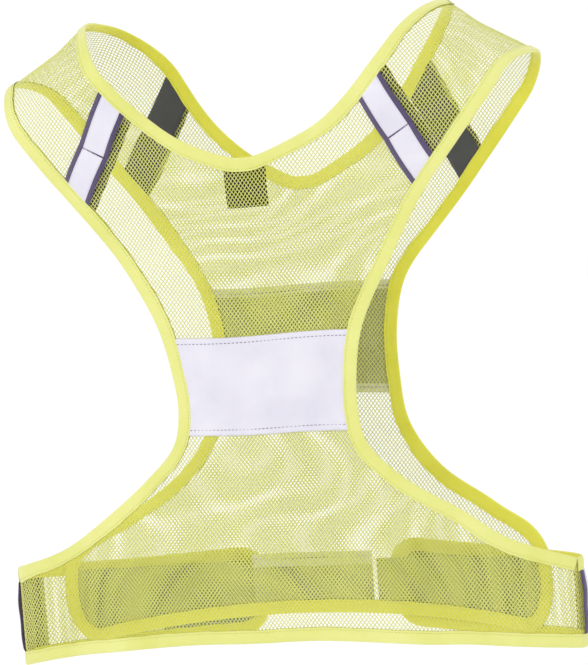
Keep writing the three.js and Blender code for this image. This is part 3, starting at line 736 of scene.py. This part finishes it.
neck_right = np.vstack([on_side(back_neck, BACK), on_side(front_neck, FRONT)[::-1][1:]])
neck_loop = np.vstack([neck_right, mirrored(neck_right)[::-1][1:-1]])
bind("edge_neck", neck_loop, True, "neck_binding", on=["mesh_back", "mesh_front"])
arm_right = np.vstack([on_side(back_arm, BACK), on_side(front_arm, FRONT)[::-1][1:]])
bind("edge_armhole_right", arm_right, False, "right_armhole_binding", on=["mesh_back", "mesh_front"])
bind("edge_armhole_left", mirrored(arm_right), False, "left_armhole_binding", on=["mesh_back", "mesh_front"])
hem_back = on_side(back_hem, BACK)
whole = np.vstack([mirrored(hem_back)[::-1], hem_back[1:]])
bind("edge_hem_back", whole, False, "back_hem_binding", on=["mesh_back"])
hem_front = on_side(front_hem, FRONT)
whole = np.vstack([mirrored(hem_front)[::-1], hem_front[1:]])
bind("edge_hem_front", whole, False, "front_hem_binding", on=["mesh_front"])


# ---------- strap tapes ----------
def walk(start, go, lines):
    t = np.arange(0, 120, 0.25)
    gap = distance(start[0] + go[0] * t, start[1] + go[1] * t, *lines)
    return float(t[np.argmax(gap < CLEAR)])


GO = np.array([0.48, -0.88])
CROSS = np.array([0.88, 0.48])
TUCK = 6.5
STAND_OFF = 2.6      # height of the strap tapes' loops
dark_rows = []


def strap_piece(name, side, sign, lines, width, shift, low, high, materials, bulge):
    across = np.linspace(-0.5, 0.5, 9)
    u, s, lift = [], [], []
    t = np.linspace(0, 1, 57)
    for w in across:
        start = np.array([139, 171]) + CROSS * (shift + width * w)
        a, b = walk(start, -GO, lines) + TUCK, walk(start, GO, lines) + TUCK
        d = -a + (a + b) * t
        u.append(sign * (start[0] + GO[0] * d))
        s.append(start[1] + GO[1] * d)
        # The tape stands off in two shallow loops, one each side of the cross stitches.
        edge = np.minimum(d + a, b - d)
        loop = np.sin(np.pi * np.clip(np.abs(d) / (np.where(d < 0, a, b) - TUCK), 0, 1))
        swell = bulge * loop * (1 - 0.12 * (2 * w) ** 2)
        bow = 0.12 * np.sin(d / 5 + 3 * w)
        lift.append(np.stack([risen(edge, TUCK), swell + bow * (bulge > 0)], -1))
    u, s, lift = np.array(u), np.array(s), np.array(lift)
    out = lift[..., 0]
    if low > 0:
        lows = mix(0.42 if high < 1.7 else 0.62, low + lift[..., 1], out)
        highs = mix(0.60 if high < 1.7 else 0.74, high + lift[..., 1], out)
    else:
        lows, highs = mix(-0.70, low, out), mix(-0.45, high, out)
    return slab(name, u, s, side, lows, highs, materials)


for hand, sign in (("left", -1), ("right", 1)):
    for face, side, lines in (
        ("back", BACK, (back_arm, back_neck)),
        ("front", FRONT, (front_arm, front_neck)),
    ):
        tag = face + "_" + hand
        node = tag + "_strap"
        rest = ["mesh_" + face]
        where = (side, sign, lines)
        tape = strap_piece("tape_" + tag, *where, TAPE, 0, OFF_MESH, TAPE_FACE, [PURPLE], STAND_OFF)
        own(tape, VEST, [node + "_webbing"], "webbing", (0.030, 0.092), "laid", rest)
        faces = (SILVER_FOOT, SILVER_FACE)
        strip = strap_piece("silver_" + tag, *where, SILVER, 0, *faces, [SILVER_CLOTH], STAND_OFF)
        own(strip, VEST, [node + "_silver"], "reflective", (0.021, 0.092), "laid", rest)
        offset = sign * 7 if side == BACK else -sign * 3
        under = strap_piece("backing_" + tag, *where, TAPE, offset, -TAPE_FACE, -OFF_MESH, [GREY], 0)
        own(under, VEST, [node + "_backing"], "backing", (0.030, 0.092), "laid", rest)
        for k in np.arange(-10.5, 10.6, 1.5):
            p = np.array([139, 171]) + CROSS * k
            for off in (-0.35, 0.35):
                q = p + GO * off
                dark_rows.append([sign * q[0], q[1], side, 2.0, sign * CROSS[0], CROSS[1], 2.3, 0.7])


# ---------- patches ----------
def creases(u, s, amount):
    return amount * (
        np.sin((u + 0.4 * s) / 6.3) * np.sin(s / 9.1 + 0.5)
        + 0.6 * np.sin((0.3 * u - s) / 4.7 + np.sin(u / 15))
    )


def patch(name, side, arm, bottom, top, turned, body_node):
    rows = int((top - bottom) / 2) + 1
    s_rows = np.linspace(bottom, top, rows)
    t = np.linspace(-1, 1, 91)
    u, s = [], []
    for level_s in s_rows:
        along = np.arange(0, 140, 0.25)
        gap = distance(along, np.full(along.shape, level_s), arm)
        reach = along[np.argmax(gap < CLEAR)] + TUCK
        u.append(reach * t)
        s.append(np.full(t.shape, level_s))
    u, s = np.array(u), np.array(s)
    edge = distance(u, s, arm)
    out = risen(edge, CLEAR)
    fold = 1 - smooth((np.minimum(s - bottom, top - s) - turned + 1) / 1.5)
    puff = creases(u, s, 0.16) + 0.16
    low = mix(TUCKED, OFF_MESH + 0.5 * puff, out)
    high = mix(0.62, 1.45 + puff + 0.22 * fold, out)
    mid_s = (s[:-1, :-1] + s[1:, 1:]) / 2
    # The turned-in bands get the copy of the silver with painted light.
    inner = np.where(np.minimum(mid_s - bottom, top - mid_s) < turned, 2, 1)
    obj = slab(name, u, s, side, low, high, [SILVER_CLOTH, PATCH_BACK, SILVER_INSIDE_LIT], inner)
    for level_s in (bottom + 5, top - 5):
        k = int(np.argmin(np.abs(s_rows - level_s)))
        line_u = np.linspace(u[k, 4], u[k, -5], 200)
        keep = distance(line_u, np.full(line_u.shape, level_s), arm) > CLEAR + 0.5
        line_u = line_u[keep]
        extra = np.full(line_u.shape, level_s)
        sides = np.full(line_u.shape, float(side))
        for lift in (1.95, -0.35):
            dark_rows.extend(along_line(line_u, extra, sides, lift, *DARK_STITCH, 0))
    return obj


back_patch = patch("patch_back", BACK, back_arm, -83, 3, 9, "back_patch")
own(back_patch, VEST, ["back_patch"], "reflective", (0.158, 0.086), "laid", ["mesh_back"])
chest_patch = patch("patch_chest", FRONT, front_arm, -62, 38, 9, "chest_patch")
own(chest_patch, VEST, ["chest_patch"], "reflective", (0.17, 0.100), "laid", ["mesh_front"])

waist_low, waist_high = FRONT_HEM + CLEAR - TUCK, FRONT_HEM + 55
u, s = grid(-57, 57, waist_low, waist_high, 2)
out = risen(s - waist_low, TUCK)
puff = creases(u, s, 0.07) + 0.07
mid_s = (s[:-1, :-1] + s[1:, 1:]) / 2
# Its turned-in band gets the copy of the silver with painted light.
waist_patch = slab(
    "patch_waist", u, s, FRONT, mix(TUCKED, OFF_MESH, out), mix(0.62, 1.42 + puff, out),
    [SILVER_CLOTH, PATCH_BACK, SILVER_INSIDE_LIT], np.where(waist_high - mid_s < 13, 2, 1),
)
own(waist_patch, VEST, ["waist_patch"], "reflective", (0.114, 0.049), "laid", ["mesh_front"])
line_u = np.linspace(-54, 54, 100)
for lift in (1.7, -0.35):
    level_s, sides = np.full(100, waist_high - 5.0), np.full(100, 1.0)
    dark_rows.extend(along_line(line_u, level_s, sides, lift, *DARK_STITCH))

# ---------- label ----------
u, s = grid(-19, 19, BACK_NECK - 43, BACK_NECK - 3, 2)
drop = (BACK_NECK - 3 - s) / 40
curl = -1.6 * drop ** 2 - 0.35 * np.sin(u / 6.5) * drop
label = slab("label_neck", u, s, BACK, -2.35 + curl, -2.0 + curl, [BLACK])
own(label, VEST, ["neck_label"], "label", (0.038, 0.040), "hung", ["edge_neck"])

# ---------- waist tabs ----------
def stand_off(s, low_s, high_s):
    """The side tape is sewn at its ends only, so its middle stands off the mesh in a shallow wavy loop."""
    t = (s - low_s) / (high_s - low_s)
    return np.sin(np.pi * t) * (2.1 + 0.5 * np.sin(s / 5.5))


for hand, sign, tip in (("left", -1, LEFT_TIP), ("right", 1, RIGHT_TIP)):
    body = hand + "_tab"
    edge = tab_edge(tip)
    tab_mesh, cells = knit("mesh_tab_" + hand, BACK, edge, [edge], False, sign)
    end = 2 * FOLD - tip
    size = ((end - HINGE_U) / 1000, 0.080)
    own(tab_mesh, body, [hand + "_tab_mesh"], "mesh", size, "folded", ["mesh_front"],
        yarn_area(cells, size))
    line = on_side(edge, BACK) * [sign, 1, 1]
    both = {BACK: edge, FRONT: edge}
    bind("edge_tab_" + hand, line, False, hand + "_tab_binding", body, both, "folded", ["mesh_front"])

    start = HINGE_U + 2.15
    low_s, high_s = HEM + CLEAR - TUCK, BAND_TOP - CLEAR + TUCK
    u, s = grid(start, start + TAPE, low_s, high_s, 1.5)
    out = risen(np.minimum(s - low_s, high_s - s), TUCK)
    swell = stand_off(s, low_s, high_s)
    low, high = mix(TUCKED, OFF_MESH + swell, out), mix(0.6, TAPE_FACE + swell, out)
    tape = slab("tape_side_" + hand, sign * u, s, BACK, low, high, [PURPLE])
    own(tape, body, [hand + "_side_webbing"], "webbing", (0.030, 0.067), "laid", ["mesh_tab_" + hand])
    border = (TAPE - SILVER) / 2
    u, s = grid(start + border, start + border + SILVER, low_s, high_s, 1.5)
    out = risen(np.minimum(s - low_s, high_s - s), TUCK)
    swell = stand_off(s, low_s, high_s)
    low, high = mix(0.62, SILVER_FOOT + swell, out), mix(0.74, SILVER_FACE + swell, out)
    strip = slab("silver_side_" + hand, sign * u, s, BACK, low, high, [SILVER_CLOTH])
    own(strip, body, [hand + "_side_silver"], "reflective", (0.021, 0.067), "laid", ["mesh_tab_" + hand])

    middle = (HEM + BAND_TOP) / 2
    u, s = [], []
    for reach in np.linspace(end - CLEAR - 89, end - CLEAR + 4, 48):
        t = np.arange(0, 42, 0.25)
        hit = distance(np.full(t.shape, reach), middle + t, edge) < CLEAR - 4.5
        half = float(t[np.argmax(hit)]) if hit.any() else 30
        s.append(np.linspace(middle - half, middle + half, 30))
        u.append(np.full(30, reach))
    u, s = np.array(u), np.array(s)
    out = risen(distance(u, s, edge), CLEAR, 1.5)
    hooks = slab("hooks_" + hand, sign * u, s, BACK, mix(-0.7, -1.75, out), mix(-0.42, -0.85, out), [HOOKS])
    own(hooks, body, [hand + "_hook_pad"], "pad", (0.093, 0.062), "laid", ["mesh_tab_" + hand])

    inner_end, outer = 61.0, WING_HALF - CLEAR + 4
    columns, rows = 84, 30
    u, s = [], []
    for reach in np.linspace(inner_end, outer, columns):
        t = np.arange(0, 60, 0.25)
        ends = []
        for way, most in ((1, 30), (-1, 34)):
            gap = distance(np.full(t.shape, reach), middle + 6 + way * t, front_arm, front_hem)
            hit = gap < CLEAR - 4.5
            ends.append(min(most, float(t[np.argmax(hit)]) if hit.any() else most))
        s.append(np.linspace(middle + 6 - ends[1], middle + 6 + ends[0], rows))
        u.append(np.full(rows, reach))
    u, s = np.array(u), np.array(s)
    out = risen(distance(u, s, front_arm, front_hem), CLEAR, 1.5)
    rng = np.random.default_rng(5)
    nap = rng.uniform(-0.14, 0.06, u.shape)
    low, high = mix(TUCKED, OFF_MESH, out), mix(0.70, 1.9 + nap, out)
    loops = slab("loops_" + hand, sign * u, s, FRONT, low, high, [LOOPS])
    own(loops, VEST, [hand + "_loop_pad"], "pad", ((outer - inner_end) / 1000, 0.056), "laid", ["mesh_front"])

# ---------- stitching ----------
for body, rows in edge_rows.items():
    own(sew("stitching_" + body, rows, THREAD), body, [], "binding")
own(sew("stitching_patches", dark_rows, DARK_THREAD), VEST, [], "webbing")

# ---------- floor and light ----------
def paper():
    m = bpy.data.materials.new("floor_paper")
    m.use_nodes = True
    shader = next(n for n in m.node_tree.nodes if n.type == "BSDF_PRINCIPLED")
    shader.inputs["Base Color"].default_value = (0.99, 0.99, 0.99, 1)
    shader.inputs["Roughness"].default_value = 0.9
    return m


FLOOR_HALF = 14
FLOOR_Z = -0.95
floor_points = np.array([[x, y, FLOOR_Z] for x, y in ((-1, -1), (1, -1), (1, 1), (-1, 1))], float)
floor_points[:, :2] *= FLOOR_HALF
floor = make("floor", floor_points, [np.array([[0, 1, 2, 3]])], floor_points[:, :2], [paper()])

world = bpy.data.worlds.new("studio")
bpy.context.scene.world = world
world.use_nodes = True
sky = next(n for n in world.node_tree.nodes if n.type == "BACKGROUND")
sky.inputs["Color"].default_value = (1, 1, 1, 1)
sky.inputs["Strength"].default_value = 1.02


def lamp(name, at, towards, size, power):
    data = bpy.data.lights.new(name, "AREA")
    data.shape = "DISK"
    data.size = size
    data.energy = power
    obj = bpy.data.objects.new(name, data)
    bpy.context.scene.collection.objects.link(obj)
    obj.location = at
    obj.rotation_euler = (Vector(towards) - Vector(at)).to_track_quat("-Z", "Y").to_euler()


lamp("key", (-1.5, -2.2, 1.3), (0, 0, -0.25), 1.2, 10)
lamp("fill", (2.2, -1.6, 0.4), (0, 0, -0.25), 1.5, 3)
bpy.context.scene.view_settings.view_transform = "Standard"
